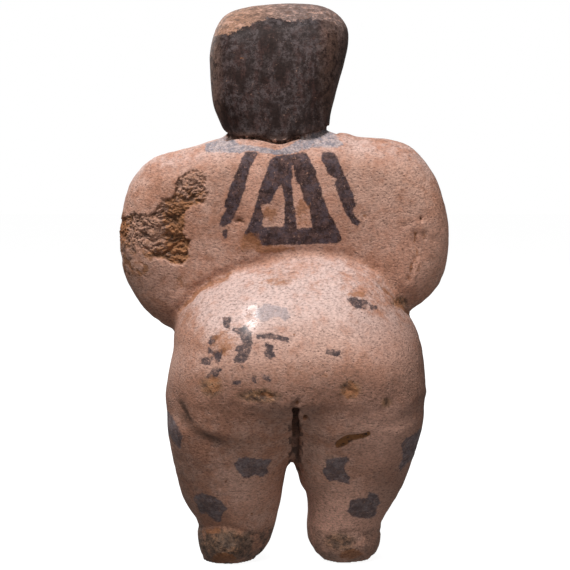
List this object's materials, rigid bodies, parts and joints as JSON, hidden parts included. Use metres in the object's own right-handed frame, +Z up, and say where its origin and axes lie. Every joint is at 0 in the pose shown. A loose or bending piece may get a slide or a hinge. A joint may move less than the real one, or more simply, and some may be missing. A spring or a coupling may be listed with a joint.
{
  "type": "standing clay figurine",
  "caption": "Solid hand-modelled clay figurine of a standing woman, painted hair and tresses, arms folded over the belly, broad seat, short legs; stands on its own feet.",
  "frame": {"origin": "on the ground, under the middle of the figurine's bounding box", "axes": "+Z up along the figure, from soles to crown; the figure faces -Y, so its back is towards +Y; +X is towards the figure's own left side"},
  "size_m": [0.0952, 0.06, 0.1603],
  "materials": {
    "fired_clay": "gritty orange-beige fired clay, partly burnished, with worn dark brown slip painting"
  },
  "bodies": {
    "root": {"clay_figurine": "fired_clay"}
  },
  "joints": []
}
